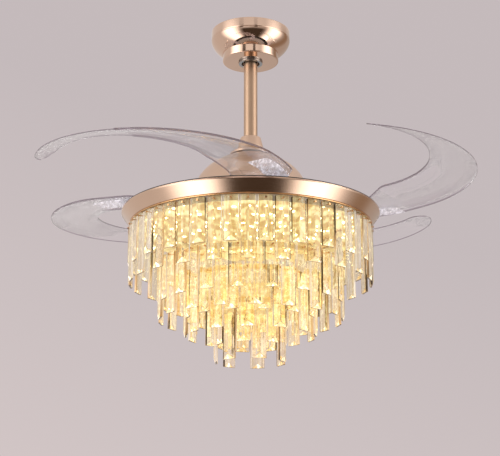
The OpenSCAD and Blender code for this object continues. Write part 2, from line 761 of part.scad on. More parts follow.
module rotor_screws() {
    color("silver") {
        at_end_screws() pan_screw(end_screw_r, 9, 2, 1.4);
        at_dome_screws() pan_screw(screw_r, 10, screw_head_r - 0.4, 1.6);
        at_housing_screws() pan_screw(screw_r, foot_t + plate_t, screw_head_r - 0.4, 1.6);
        at_sync_screws() pan_screw(screw_r, sync_shoulder_h + plate_t, screw_head_r + 1.6, 1);
    }
}

// Rotor plate, sync ring and blades ---------------------------------------------

sync_shoulder_h = gear_t + 2 * gap;

module at_sync_screws() {
    for (i = [0:blade_n - 1]) rotate(first_pivot - i * 360 / blade_n - 72)
        translate([sync_screw_r, 0, plate_top_z + sync_shoulder_h]) children();
}

air_hole_r = 12;
air_hole_at = (motor_d / 2 + foot_w + sync_in_r) / 2 - 5;

module rotor_plate() {
    color("#8d8d90") difference() {
        union() {
            translate([0, 0, plate_foot_z]) cylinder(r = pivot_r + 21, h = plate_t, $fn = 180);
            translate([0, 0, plate_top_z]) ring(bearing_boss_r, bearing_d / 2, bearing_w);
            translate([0, 0, plate_top_z]) ring(sync_in_r - run_fit, sync_in_r - 7, sync_shoulder_h);
        }
        translate([0, 0, plate_foot_z - 1]) cylinder(r = shaft_hole_r, h = plate_t + 2);
        at_pivots() translate([0, 0, plate_foot_z - 1])
            cylinder(r = pivot_d / 2 - 1, h = plate_t + 2, $fn = 48);
        at_housing_screws() cylinder(r = screw_r, h = drill_h, center = true, $fn = 32);
        at_sync_screws() cylinder(r = screw_r, h = 2 * drill_h, center = true, $fn = 32);
        for (i = [0:7]) rotate(22.5 + 45 * i) translate([air_hole_at, 0, plate_foot_z - 1])
            cylinder(r = air_hole_r, h = plate_t + 2, $fn = 48);
    }
}

// One straight-sided tooth along +X on a pitch circle of radius r.
module tooth(r, up, down) {
    polygon([[r - down - 0.5, -1.9], [r - down, -1.9], [r + up, -0.75], [r + up, 0.75], [r - down, 1.9],
        [r - down - 0.5, 1.9]]);
}

module sync_ring() {
    color("#d9d4c4") translate([0, 0, gear_foot_z]) difference() {
        union() {
            ring(sync_root_r, sync_in_r, gear_t);
            linear_extrude(gear_t) for (i = [0:blade_n - 1]) rotate(first_pivot - i * 360 / blade_n)
                for (k = [-1:ceil(sync_swing / sync_step) + 1]) rotate(-(k - 0.5) * sync_step)
                    tooth(sync_pitch_r, tooth_up, tooth_down);
        }
        for (i = [0:11]) rotate(30 * i + 3) translate([(sync_root_r + sync_in_r) / 2, 0, -1])
            cylinder(r = 3, h = gear_t + 2, $fn = 32);
    }
}

module blade_hub(index) {
    color("#3f3f42") rotate(first_pivot - index * 360 / blade_n) translate([pivot_r, 0, 0]) difference() {
        union() {
            translate([0, 0, gear_foot_z])
                cylinder(r = gear_pitch_r - tooth_down, h = gear_t + gap + flange_t);
            translate([0, 0, gear_foot_z]) linear_extrude(gear_t)
                for (k = [-1:ceil(swing / hub_step) + 1]) rotate(180 + k * hub_step)
                    tooth(gear_pitch_r, tooth_up, tooth_down);
            translate([0, 0, gear_top_z + gap]) cylinder(r = hub_flange_r, h = flange_t);
            translate([0, 0, gear_top_z + gap]) rotate(swing) translate([-pivot_r, 0, 0])
                rotate(-arm_reach) rotate_extrude(angle = arm_reach)
                    translate([arm_in_r, 0]) square([arm_out_r - arm_in_r, flange_t]);
            translate([0, 0, root_foot_z]) cylinder(r = hub_spigot_r, h = root_t + 0.2);
        }
        translate([0, 0, gear_foot_z - 1]) cylinder(r = pivot_d / 2 + run_fit, h = 20, $fn = 64);
        translate([0, 0, gear_foot_z - 1]) ring(spring_r + 1.5, hub_spigot_r, gear_t - 0.2);
        at_blade_screws() cylinder(r = screw_r, h = 2 * drill_h, center = true, $fn = 32);
    }
}

module at_blade_screws() {
    for (a = [30:120:270]) rotate(a) translate([blade_screw_r, 0, root_foot_z + root_t]) children();
}

module pivot_bolts() {
    color("silver") at_pivots() {
        translate([0, 0, plate_foot_z]) cylinder(r = pivot_d / 2 - 1, h = plate_t + 1, $fn = 48);
        translate([0, 0, plate_top_z]) cylinder(r = pivot_d / 2, h = root_foot_z + root_t + 0.6 - plate_top_z,
            $fn = 64);
        translate([0, 0, root_foot_z + root_t + 0.6]) cylinder(r = pivot_d / 2 + 3.5, h = 2.4, $fn = 48);
    }
}

module return_springs() {
    color("gray") at_pivots() translate([0, 0, plate_top_z])
        ring(spring_r + 1, hub_spigot_r + 0.8, gear_t - 1.4);
}

// The folded blade runs clockwise from its pivot on the X axis. The angle a is how far
// round it has gone, u is 0 at the outer edge and 1 at the inner edge.
wing_start = 14;
web_start = 37;
narrow_arc = 34;
wing_steps = 46;
tip_round = 12;
wing_corners = 12;

function inner_r(a) = let (u = (a - wing_start) / (tip_end - wing_start))
    inner_root_r + (inner_tip_r - inner_root_r) * u
    + root_narrow * (1 - smooth((a - wing_start) / narrow_arc));
function tip_narrow(a) = let (s = max(0, (a - tip_end + tip_round) / tip_round)) sqrt(max(0.002, 1 - s * s));
function blade_z(a, u) = let (t = a * PI / 180, tip = max(0, a - tip_joint) / (tip_end - tip_joint))
    root_mid_z + smooth((a - wing_start) / 30)
    * (rise * t + rise_growth * t * t + u * (pitch_lift + lift_growth * t - tip_settle * tip * tip));
function half_thick(a, edge) = a > tip_joint ? web_t / 2 : a < web_start ? root_t / 2
    : edge ? rim_t / 2 : web_t / 2;
function station_angles() = concat(
    [for (i = [0:wing_steps]) wing_start + (tip_end - wing_start) * i / wing_steps],
    [web_start - 0.4, web_start + 0.4, tip_joint - 0.2, tip_joint + 0.2]);
function sorted(list) = len(list) < 2 ? list : let (p = list[floor(len(list) / 2)])
    concat(sorted([for (v = list) if (v < p) v]), [p], sorted([for (v = list) if (v > p) v]));

// Ring of points round the blade's section: under the bottom from outer to inner edge and back.
function section(a) = let (full = fold_r - inner_r(a), wide = full * tip_narrow(a),
    out = fold_r - (full - wide) * 0.35, rim = min(rim_w, wide * 0.4), slope = min(1.5, wide * 0.05),
    across = [0, rim - slope, rim, wide - rim, wide - rim + slope, wide],
    edge = [true, true, false, false, true, true],
    at = function (i, side) let (r = out - across[i])
        [r * cos(-a), r * sin(-a), blade_z(a, (fold_r - r) / full) + side * half_thick(a, edge[i])])
    concat([for (i = [0:5]) at(i, -1)], [for (i = [5:-1:0]) at(i, 1)]);

module wing() {
    angles = sorted(station_angles());
    n = len(angles);
    m = wing_corners;
    points = [for (a = angles) each section(a)];
    sides = [for (i = [0:n - 2], j = [0:m - 1]) let (k = (j + 1) % m)
        each [[i * m + j, i * m + k, (i + 1) * m + k], [i * m + j, (i + 1) * m + k, (i + 1) * m + j]]];
    cap_pairs = [for (j = [0:4]) each [[j, m - 1 - j, m - 2 - j], [j, m - 2 - j, j + 1]]];
    first_cap = [for (f = cap_pairs) [f[0], f[1], f[2]]];
    last_cap = [for (f = cap_pairs) [(n - 1) * m + f[0], (n - 1) * m + f[2], (n - 1) * m + f[1]]];
    polyhedron(points, concat(sides, first_cap, last_cap), convexity = 8);
}

module blade(index) {
    a = wing_start + 1;
    in = inner_r(a);
    color("#e9e6f0") rotate(first_pivot - index * 360 / blade_n) translate([pivot_r, 0, 0]) rotate(swing)
        translate([-pivot_r, 0, 0]) {
            difference() {
                union() {
                    wing();
                    translate([0, 0, root_foot_z]) linear_extrude(root_t) {
                        translate([pivot_r, 0]) circle(r = root_pad_r, $fn = 72);
                        polygon([[fold_r * cos(a), -fold_r * sin(a)], [in * cos(a), -in * sin(a)],
                            [pivot_r - root_pad_r * 0.94, root_pad_r * 0.34],
                            [pivot_r + root_pad_r * 0.94, root_pad_r * 0.34]]);
                    }
                }
                translate([pivot_r, 0, root_foot_z - 5]) cylinder(r = hub_spigot_r + run_fit, h = 20);
                translate([pivot_r, 0, 0]) rotate(-swing) at_blade_screws()
                    cylinder(r = screw_r + 0.1, h = drill_h, center = true, $fn = 32);
            }
        }
}

module blade_screws(index) {
    color("silver") rotate(first_pivot - index * 360 / blade_n) translate([pivot_r, 0, 0]) at_blade_screws()
        pan_screw(screw_r, root_t + flange_t + gear_t - 0.6, screw_head_r - 0.4, 1.8);
}

// Lamp ----------------------------------------------------------------------------

module lamp_tray() {
    color("#1d1a18") difference() {
        union() {
            translate([0, 0, band_top_z]) cylinder(d = band_d - 3, h = tray_t, $fn = 240);
            translate([0, 0, band_top_z])
                cylinder(r = race_mid_r - race_gap / 2, h = plate_top_z - band_top_z);
        }
        translate([0, 0, band_top_z - 1]) cylinder(r = shaft_r, h = 20);
    }
}

module tray_nut() {
    color("silver") difference() {
        translate([0, 0, band_top_z - tray_nut_h]) cylinder(r = shaft_r + 6, h = tray_nut_h, $fn = 6);
        translate([0, 0, band_top_z - 20]) cylinder(r = shaft_r, h = 30);
    }
}

// The band is an upright edge over a straight slope. The inner outline keeps the sheet's thickness.
band_slope = atan(band_taper / (band_h - band_upright_h));
function band_profile(inset) = [[band_d / 2 - inset, band_top_z - inset],
    [band_d / 2 - inset, band_top_z - band_upright_h + inset * tan(band_slope / 2)],
    [band_foot_d / 2 - inset * tan(45 - band_slope / 2), band_foot_z + inset]];
band_flange = 12;

module ring_band() {
    color("#c99b80") rotate_extrude($fn = 240) polygon(concat(band_profile(0),
        [[band_foot_d / 2 - band_flange, band_foot_z], [band_foot_d / 2 - band_flange, panel_foot_z]],
        reversed(band_profile(band_wall)), [[band_d / 2 - band_flange, band_top_z - band_wall],
        [band_d / 2 - band_flange, band_top_z]]));
}

module ring_bead() {
    color("#c0692b") rotate_extrude($fn = 240)
        translate([band_foot_d / 2 - 1.4, band_foot_z - bead_d / 2]) circle(d = bead_d, $fn = 32);
}

panel_r = band_foot_d / 2 - 6;

module light_panel() {
    color("whitesmoke") translate([0, 0, panel_foot_z]) cylinder(r = panel_r, h = panel_t, $fn = 180);
}

// Rows of light chips lie between the circles of struts.
chip_r = 4;
chip_pitch = 30;
chip_rows = [tier_4_r - 36, (tier_4_r + tier_3_r) / 2 - 7, (tier_3_r + tier_2_r) / 2 - 7,
    (tier_2_r + tier_1_r) / 2 - 7];

module led_chips() {
    color("#fff2c0") for (r = chip_rows) let (n = round(2 * PI * r / chip_pitch)) for (i = [0:n - 1])
        rotate(i * 360 / n) translate([r, 0, panel_foot_z - 1.6])
            cylinder(r1 = chip_r - 1, r2 = chip_r, h = 1.6, $fn = 24);
}

module led_driver() {
    driver = [96, 44, 17];
    color("white") translate([driver_x, -driver.y / 2, band_top_z - driver.z]) cube(driver);
}

// The first hoop hangs from the band's flange, the others from rods that stand on them.
function hoop_foot_z(i) = tier_top_z[i] - hook_drop - hoop_h / 2;

module crystal_hoops() {
    color("#c9a06e") for (i = [0:3]) translate([0, 0, hoop_foot_z(i)])
        ring(hoop_out_r(i), hoop_out_r(i) - hoop_t, i == 0 ? band_foot_z - hoop_foot_z(0) : hoop_h);
}

module hoop_rods() {
    color("#c9a06e") for (i = [1:3]) let (top = hoop_foot_z(i) + hoop_h)
        for (k = [0:strut_n - 1]) rotate(tier_turn[i] + k * 360 / strut_n + 180 / tier_count(i))
            translate([hoop_out_r(i) - strut_d / 2, 0, top])
                cylinder(d = strut_d, h = panel_foot_z - top, $fn = 32);
}

module crystal_hooks() {
    color("#c9a06e") for (i = [0:3]) let (n = tier_count(i)) for (k = [0:n - 1])
        rotate(tier_turn[i] + k * 360 / n) translate([hoop_out_r(i), 0, tier_top_z[i] - hook_drop])
            rotate([0, 90, 0]) {
            cylinder(r = hook_r, h = bar_t + 1, $fn = 24);
            translate([0, 0, bar_t + 1]) cylinder(r = 2 * hook_r, h = 1.2, $fn = 24);
        }
}

module bar(length) {
    back = bar_t / 2;
    side = bar_side_t - back;
    difference() {
        intersection() {
            translate([0, 0, -length]) linear_extrude(length)
                polygon([[-back, -bar_w / 2], [side, -bar_w / 2], [back, 0], [side, bar_w / 2],
                    [-back, bar_w / 2]]);
            rotate([90, 0, 0]) linear_extrude(bar_w + 2, center = true)
                polygon([[-back, 0], [back, 0], [back, facet_h - length], [side, -length],
                    [-back, -length]]);
        }
        translate([-bar_t, 0, -hook_drop]) rotate([0, 90, 0])
            cylinder(r = hook_r + 0.25, h = 2 * bar_t, $fn = 24);
    }
}

// Short and long bars take turns round each tier.
module tier_bars(i, long) {
    n = tier_count(i);
    color(long ? "#f4e2b8" : "#fff0c8") for (k = [0:n / 2 - 1])
        rotate(tier_turn[i] + (2 * k + (long ? 0 : 1)) * 360 / n) translate([tier_r[i], 0, tier_top_z[i]])
            bar(long ? long_l : short_l);
}

ceiling_bracket();
canopy();
canopy_screws();
remote_receiver();
ball_seat();
hanger_ball();
hanger_pin();
downrod();
motor_yoke();
clevis_pin();
cotter_pin();
set_screws();
coupling_cover();
motor_shaft();
stator_core();
stator_windings();
bearing_inner_races();
supply_cable();
cable_connector();
lamp_tray();
tray_nut();
ring_band();
ring_bead();
light_panel();
led_chips();
led_driver();
crystal_hoops();
hoop_rods();
crystal_hooks();
tier_bars(0, false);  // tier_1_short_bars
tier_bars(0, true);  // tier_1_long_bars
tier_bars(1, false);  // tier_2_short_bars
tier_bars(1, true);  // tier_2_long_bars
tier_bars(2, false);  // tier_3_short_bars
tier_bars(2, true);  // tier_3_long_bars
tier_bars(3, false);  // tier_4_short_bars
tier_bars(3, true);  // tier_4_long_bars
motor_housing();
motor_end_plate();
dome_cover();
rotor_screws();
magnets();
bearing_outer_races();
bearing_balls();
rotor_plate();
pivot_bolts();
return_springs();
sync_ring();
blade(0);  // blade_1
blade(1);  // blade_2
blade(2);  // blade_3
blade(3);  // blade_4
blade_hub(0);  // blade_hub_1
blade_hub(1);  // blade_hub_2
blade_hub(2);  // blade_hub_3
blade_hub(3);  // blade_hub_4
blade_screws(0);  // blade_screws_1
blade_screws(1);  // blade_screws_2
blade_screws(2);  // blade_screws_3
blade_screws(3);  // blade_screws_4
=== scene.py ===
import math

import bmesh
import bpy
from mathutils import Matrix, Vector


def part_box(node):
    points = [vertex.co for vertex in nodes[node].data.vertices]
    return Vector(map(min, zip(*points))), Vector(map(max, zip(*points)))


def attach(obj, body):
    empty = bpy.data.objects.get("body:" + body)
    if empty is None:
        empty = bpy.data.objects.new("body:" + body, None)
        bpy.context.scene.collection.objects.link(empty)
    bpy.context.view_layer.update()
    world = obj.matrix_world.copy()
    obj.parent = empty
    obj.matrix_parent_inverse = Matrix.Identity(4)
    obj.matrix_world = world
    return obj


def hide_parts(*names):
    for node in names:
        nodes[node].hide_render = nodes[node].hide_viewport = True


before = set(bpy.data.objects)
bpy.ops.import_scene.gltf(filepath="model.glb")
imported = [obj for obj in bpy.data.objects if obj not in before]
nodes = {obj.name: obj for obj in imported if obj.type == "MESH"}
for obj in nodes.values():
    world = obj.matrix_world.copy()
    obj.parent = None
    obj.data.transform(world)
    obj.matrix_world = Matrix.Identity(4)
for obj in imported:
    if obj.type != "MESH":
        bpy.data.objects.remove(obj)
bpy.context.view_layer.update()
scene = bpy.context.scene
scene.view_settings.view_transform = "Standard"


# The view: the fan hangs from the ceiling at z = 0, and the photographer stands 2.25 m in front of
# it and a metre lower, looking up through a long lens.
eye = (-0.0012, -2.25, -1.026)
look_up = math.radians(15.31)
camera = bpy.data.objects.new("camera", bpy.data.cameras.new("camera"))
camera.data.sensor_width = 36
camera.data.lens = 86.6
camera.data.clip_start = 0.05
camera.location = eye
camera.rotation_euler = (math.pi / 2 + look_up, 0, 0)
scene.collection.objects.link(camera)
scene.camera = camera


# The wires of a finish: a Value is a number that varies over the surface, and sums of such numbers
# add their own Math nodes. Wiring.node makes every other node.
class Value:
    def __init__(self, wiring, socket):
        self.wiring = wiring
        self.socket = socket

    def maths(self, operation, *values):
        return self.wiring.node("Math", {"operation": operation}, dict(enumerate(values)))

    def __add__(self, other):
        return self.maths("ADD", self, other)

    def __sub__(self, other):
        return self.maths("SUBTRACT", self, other)

    def __rsub__(self, other):
        return self.maths("SUBTRACT", other, self)

    def __mul__(self, other):
        return self.maths("MULTIPLY", self, other)

    def __truediv__(self, other):
        return self.maths("DIVIDE", self, other)

    def clipped(self):
        return self.maths("MAXIMUM", self.maths("MINIMUM", self, 1.0), 0.0)

    __radd__ = __add__
    __rmul__ = __mul__


class Wiring:
    def __init__(self, tree):
        self.tree = tree
        tree.nodes.clear()

    def node(self, kind, settings=None, sockets=None, take=0):
        node = self.tree.nodes.new("ShaderNode" + kind)
        for name, value in (settings or {}).items():
            if name == "stops":
                stops = node.color_ramp.elements
                stops.remove(stops[1])
                stops[0].position, stops[0].color = value[0][0], (*value[0][1], 1)
                for at, colour in value[1:]:
                    stops.new(at).color = (*colour, 1)
            else:
                setattr(node, name, value)
        for name, value in (sockets or {}).items():
            if isinstance(value, Value):
                self.tree.links.new(value.socket, node.inputs[name])
            elif hasattr(node.inputs[name].default_value, "__len__") and len(value) == 3:
                size = len(node.inputs[name].default_value)
                node.inputs[name].default_value = (*value, 1)[:size]
            else:
                node.inputs[name].default_value = value
        return Value(self, node.outputs[take] if len(node.outputs) else None)

    def mixed(self, share, first, second):
        return self.node("Mix", {"data_type": "RGBA"}, {0: share, 6: first, 7: second}, take=2)

    def varied(self, share, colour, spread):
        darker = [c * (1 - spread) for c in colour]
        lighter = [min(1, c * (1 + spread)) for c in colour]
        return self.mixed(share, darker, lighter)

    def scaled(self, vector, by):
        return self.node("VectorMath", {"operation": "MULTIPLY"}, {0: vector, 1: by})

    def grain(self, vector, scale, detail=3.0):
        return self.node("TexNoise", None, {"Vector": vector, "Scale": scale, "Detail": detail})

    def place(self):
        return self.node("TexCoord", None, None, take=3)

    def surface(self, shader):
        self.node("OutputMaterial", None, {"Surface": shader})


# The studio: a plain lilac-grey room, a little lighter low on the left. Behind the photographer two
# white screens stand at the sides of the room's end, with two dark posts between them over a dark
# floor, and a brown corner further right. Metal shows all of them. Angles are from the camera's side.
wall_upper = (0.555, 0.492, 0.500)
wall_lower = (0.665, 0.580, 0.575)
room_left = (0.72, 0.69, 0.67)
room_right = (0.50, 0.46, 0.43)
room_dark = (0.07, 0.05, 0.035)
room_high = (0.80, 0.784, 0.776)
room_above_end = (1.05, 1.03, 1.0)
room_corner = (0.33, 0.24, 0.17)
screen_white = (3.1, 3.1, 3.05)
screens_turned, screen_at, screen_half = math.radians(6), math.radians(68), math.radians(34)
dark_reach, dark_fade = math.radians(28), math.radians(16)
left_post, right_post, post_half = math.radians(-27), math.radians(15), math.radians(7)
corner_at, corner_half = math.radians(121), math.radians(14)
world = bpy.data.worlds.new("studio")
scene.world = world
world.use_nodes = True
w = Wiring(world.node_tree)
toward = w.node("TexCoord", None, None, take=0)
x, y, z = (w.node("SeparateXYZ", None, {0: toward}, take=i) for i in range(3))
low = ((z * -2.4) + (x * -0.9) + 0.75).clipped()
wall = w.mixed(low, wall_upper, wall_lower)
azimuth = w.node("Math", {"operation": "ARCTAN2"}, {0: x, 1: y * -1.0})


def hump(angle, middle, half, top=1.0):
    across = (angle - middle) / half
    return (top - across * across).clipped()


side = azimuth.maths("ABSOLUTE", azimuth - screens_turned)
dark_end = (1.0 - (side - dark_reach) / dark_fade).clipped() * ((-0.1 - z) / 0.2).clipped()
screen = hump(side, screen_at, screen_half)
posts = hump(azimuth, left_post, post_half) + hump(azimuth, right_post, post_half, 0.6)
room = w.mixed((x * 4.0 + 0.5).clipped(), room_left, room_right)
above_end = ((z - 0.30) / 0.10).clipped() * (1.2 - side / screen_at).clipped()
room = w.mixed(above_end, room, room_above_end)
room = w.mixed((posts * ((z + 0.1) / 0.1)).clipped(), room, room_dark)
room = w.mixed(dark_end, room, room_dark)
room = w.mixed(hump(azimuth, corner_at, corner_half), room, room_corner)
room = w.mixed(screen * screen, room, screen_white)
room = w.mixed(((z * -1.0 - 0.86) / 0.06).clipped(), room, room_dark)
reflected = w.mixed(((z - 0.41) / 0.01).clipped(), room, room_high)
camera_ray, glossy_ray, clear_ray = (w.node("LightPath", None, None, take=i) for i in (0, 3, 6))
seen = camera_ray.maths("MAXIMUM", camera_ray, clear_ray)
soft_light = (0.55, 0.53, 0.53)
shown = w.mixed(glossy_ray, soft_light, reflected)
shown = w.mixed(seen, shown, wall)
w.node("OutputWorld", None, {"Surface": w.node("Background", None, {"Color": shown, "Strength": 1.0})})

lamp_off, lamp_up, lamp_turn = 3.0, 0.35, math.radians(62)
for name, across, strength in (("left_lamp", -1, 62.0), ("right_lamp", 1, 50.0)):
    lamp = bpy.data.objects.new(name, bpy.data.lights.new(name, "AREA"))
    lamp.data.shape = "RECTANGLE"
    lamp.data.size = 2.6
    lamp.data.size_y = 2.8
    lamp.data.energy = strength
    lamp.data.color = (1.0, 0.97, 0.95)
    lamp.visible_camera = False
    lamp.visible_glossy = False
    lamp.visible_transmission = False
    turn = lamp_turn * across
    lamp.location = (lamp_off * math.sin(turn), -lamp_off * math.cos(turn), lamp_up)
    lamp.rotation_euler = (Vector((0, 0, -0.3)) - lamp.location).to_track_quat("-Z", "Y").to_euler()
    scene.collection.objects.link(lamp)

# The floor is a pale sheet far below the fan. It is opaque under the fan and fades into the room
# towards its edges.
floor_z, floor_half, fade_from, fade_over = -2.62, 6, 2.0, 3.6
corners = [(x * floor_half, y * floor_half, floor_z) for x, y in ((-1, -1), (1, -1), (1, 1), (-1, 1))]
floor_mesh = bpy.data.meshes.new("floor")
floor_mesh.from_pydata(corners, [], [(0, 1, 2, 3)])
floor = bpy.data.objects.new("floor", floor_mesh)
scene.collection.objects.link(floor)
floor.visible_glossy = False


def new_finish(name):
    finish = bpy.data.materials.new(name)
    finish.use_nodes = True
    return finish, Wiring(finish.node_tree)


floor_finish, w = new_finish("pale_floor")
spot = w.place()
reach = w.node("VectorMath", {"operation": "LENGTH"}, {0: w.scaled(spot, (1, 1, 0))}, take=1)
pale = w.mixed(w.grain(spot, 3.0), (0.66, 0.60, 0.60), (0.70, 0.63, 0.62))
w.surface(w.node("BsdfPrincipled", None, {"Base Color": pale, "Roughness": 0.8,
    "Alpha": (1.0 - (reach - fade_from) / fade_over).clipped()}))
floor_mesh.materials.append(floor_finish)


# Metal parts are plated or painted. The plating's colour and polish vary a little, and fine brush
# lines run round the part, or along it.
around = (1, 1, 26)
along = (18, 18, 0.6)
even = (1, 1, 1)


def plated(name, colour, roughness, lines=even, fineness=90.0, depth=0.15, spread=0.05, metal=1.0):
    finish, w = new_finish(name)
    spot = w.place()
    cloud = w.grain(spot, 14.0)
    brush = w.grain(w.scaled(spot, lines), fineness, 4.0)
    tone = w.varied(cloud, colour, spread)
    bump = w.node("Bump", None, {"Strength": depth, "Distance": 0.0002, "Height": brush})
    w.surface(w.node("BsdfPrincipled", None, {"Base Color": tone, "Metallic": metal,
        "Roughness": roughness * 0.8 + brush * (roughness * 0.4), "Normal": bump}))
    return finish


def moulded(name, colour, roughness, scatter=0.0):
    finish, w = new_finish(name)
    spot = w.place()
    cloud = w.grain(spot, 20.0)
    skin = w.grain(spot, 600.0)
    tone = w.varied(cloud, colour, 0.04)
    bump = w.node("Bump", None, {"Strength": 0.2, "Distance": 0.0001, "Height": skin})
    w.surface(w.node("BsdfPrincipled", None, {"Base Color": tone, "Roughness": roughness + 0.1 * skin,
        "Normal": bump, "Subsurface Weight": scatter, "Subsurface Scale": 0.004}))
    return finish


def dress(finish, *names):
    for name in names:
        mesh = nodes[name].data
        mesh.materials.clear()
        mesh.materials.append(finish)


# The ceiling bracket is bent zinc-plated sheet with a pressed socket for the ball. It is hidden in
# the canopy, apart from the socket's collar at the rod.
zinc = plated("zinc_plate", (0.40, 0.41, 0.42), 0.32, fineness=60.0, spread=0.12)
dress(zinc, "ceiling_bracket", "hanger_pin", "motor_yoke", "clevis_pin", "cotter_pin", "set_screws",
    "tray_nut", "rotor_screws", "pivot_bolts", *[f"blade_screws_{i}" for i in range(1, 5)])
dress(moulded("receiver_box", (0.82, 0.82, 0.80), 0.45), "remote_receiver", "cable_connector",
    "led_driver")


# The canopy is spun from sheet steel and plated in polished rose gold: a straight wall with a rolled
# line, a curved shoulder, and a narrow waist whose flat foot has the hole for the rod. Four screws hold
# it on the bracket's tabs. Like all round sheet pieces here it is turned from its outline.
def build(name, points, faces, finish, body, slot, *replaced, sharp=32):
    mesh = bpy.data.meshes.new(name)
    mesh.from_pydata(points, [], faces)
    form = bmesh.new()
    form.from_mesh(mesh)
    bmesh.ops.recalc_face_normals(form, faces=form.faces)
    form.to_mesh(mesh)
    form.free()
    mesh.shade_smooth()
    mesh.set_sharp_from_angle(angle=math.radians(sharp))
    mesh.materials.append(finish)
    piece = bpy.data.objects.new(name, mesh)
    scene.collection.objects.link(piece)
    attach(piece, body)
    if replaced:
        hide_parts(*replaced)
    return piece


def rounded(corners, steps=4):
    """The outline (r, z) through corners (r, z, rounding radius), in millimetres, as metres. A point a
    little beyond each rounding keeps the shading of the straight runs straight."""
    beyond = 0.04
    outline = []
    for i, (r, z, fillet) in enumerate(corners):
        here = Vector((r, z))
        before = Vector(corners[i - 1][:2]) - here
        after = Vector(corners[(i + 1) % len(corners)][:2]) - here
        if fillet == 0 or before.length < 1e-6 or after.length < 1e-6:
            outline.append(here / 1000)
            continue
        half = before.angle(after) / 2
        reach = min(fillet / math.tan(half), before.length * 0.45, after.length * 0.45)
        start, end = here + before.normalized() * reach, here + after.normalized() * reach
        outline.append((start + before * beyond) / 1000)
        for k in range(steps + 1):
            t = k / steps
            outline.append(((1 - t) ** 2 * start + 2 * t * (1 - t) * here + t * t * end) / 1000)
        outline.append((end + after * beyond) / 1000)
    return outline


def curve(a, b, c, steps=18):
    a, b, c = Vector(a), Vector(b), Vector(c)
    ts = [k / steps for k in range(steps + 1)]
    return [(*((1 - t) ** 2 * a + 2 * t * (1 - t) * b + t * t * c), 0) for t in ts]


def lathe(outline, steps=192):
    turns = [2 * math.pi * k / steps for k in range(steps)]
    points = [(p.x * math.cos(t), p.x * math.sin(t), p.y) for t in turns for p in outline]
    n = len(outline)
    faces = [(k * n + i, k * n + (i + 1) % n, (k + 1) % steps * n + (i + 1) % n, (k + 1) % steps * n + i)
        for k in range(steps) for i in range(n)]
    return points, faces


def size_of(node):
    """How far a node reaches out from the axis, its foot and its top, in millimetres, from the frame."""
    low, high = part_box(node)
    return [round(length * 1000, 2) for length in (high.x, low.z, high.z)]


canopy_r, canopy_foot, canopy_top = size_of("canopy")
canopy_wall, canopy_hole_r, waist_r, waist_z = 1.2, 24.3, 56.0, canopy_foot + 16
line_z, line_deep, shoulder_z, shoulder_bend = -19.4, 0.8, -21.0, (3.0, -35.0)


def canopy_side(inset, line_round, foot_round):
    """The canopy's side from its top down to its foot, inset from the outer face."""
    r = canopy_r - inset
    waist = waist_r - inset
    return [(r, canopy_top, 0.4), (r, line_z + line_deep, line_round), (r - line_deep, line_z, line_round),
        (r, line_z - line_deep, line_round),
        *curve((r, shoulder_z), (r - shoulder_bend[0], shoulder_bend[1]), (waist + 1, waist_z + inset)),
        (waist, waist_z + inset, 0.4), (waist, canopy_foot + inset, foot_round)]


canopy_outline = [*canopy_side(0, 0.5, 2.4), (canopy_hole_r, canopy_foot, 0.5),
    (canopy_hole_r, canopy_foot + canopy_wall, 0.5), *canopy_side(canopy_wall, 0, 1.5)[::-1]]
rose_polish = plated("polished_rose_gold", (0.72, 0.50, 0.38), 0.08, fineness=30.0, depth=0.03)
build("canopy_shell", *lathe(rounded(canopy_outline)), rose_polish, "ceiling_mount", "canopy_gold",
    "canopy")
dress(rose_polish, "canopy_screws")


# The ball joint lets the fan hang plumb: a moulded ball, pinned on the rod's top, turns in a nylon
# seat, and the seat rocks on two lugs in the bracket's socket.
dress(moulded("nylon", (0.80, 0.79, 0.74), 0.4, scatter=0.2), "ball_seat")
dress(moulded("black_nylon", (0.03, 0.03, 0.03), 0.35), "hanger_ball")


# The downrod is steel tube, and the cup over its coupling is spun sheet. Both are plated in a more
# yellow gold than the canopy and finely brushed.
satin_cup = plated("satin_cup_gold", (0.68, 0.47, 0.35), 0.42, around, 40.0, 0.08)
rod_gold = plated("brushed_gold", (0.54, 0.36, 0.245), 0.42, along, 60.0, 0.12)
rod_r, rod_foot, rod_top = size_of("downrod")
bore_r = rod_r - 2
rod_outline = [(rod_r, rod_top, 0.5), (rod_r, rod_foot, 0.5), (bore_r, rod_foot, 0.3), (bore_r, rod_top, 0.3)]
build("downrod_tube", *lathe(rounded(rod_outline), 96), rod_gold, "hanging", "rod_gold", "downrod")

cup_r, cup_foot, cup_top = size_of("coupling_cover")
cup_wall, cup_hole_r, cup_top_r, cup_neck_r, cup_neck_z = 1.2, rod_r + 0.4, 20.0, 25.0, cup_top - 20


def cup_side(inset, top_round, neck_round, lip_round):
    """The cup's side from its top down to its flared lip, inset from the outer face."""
    neck = cup_neck_r - inset
    lip = cup_r - inset
    return [(cup_top_r - inset, cup_top - inset, top_round), (neck, cup_neck_z, neck_round),
        *curve((neck, cup_neck_z - 1), (neck + 2, cup_foot + 6 - inset), (lip, cup_foot + 4 - inset)),
        (lip, cup_foot, lip_round)]


cup_outline = [(cup_hole_r, cup_top, 0.3), *cup_side(0, 0.8, 1.0, 0.5),
    *cup_side(cup_wall, 0.3, 0.3, 0.3)[::-1], (cup_hole_r, cup_top - cup_wall, 0.3)]
build("coupling_cup", *lathe(rounded(cup_outline), 128), satin_cup, "hanging", "rod_gold",
    "coupling_cover")


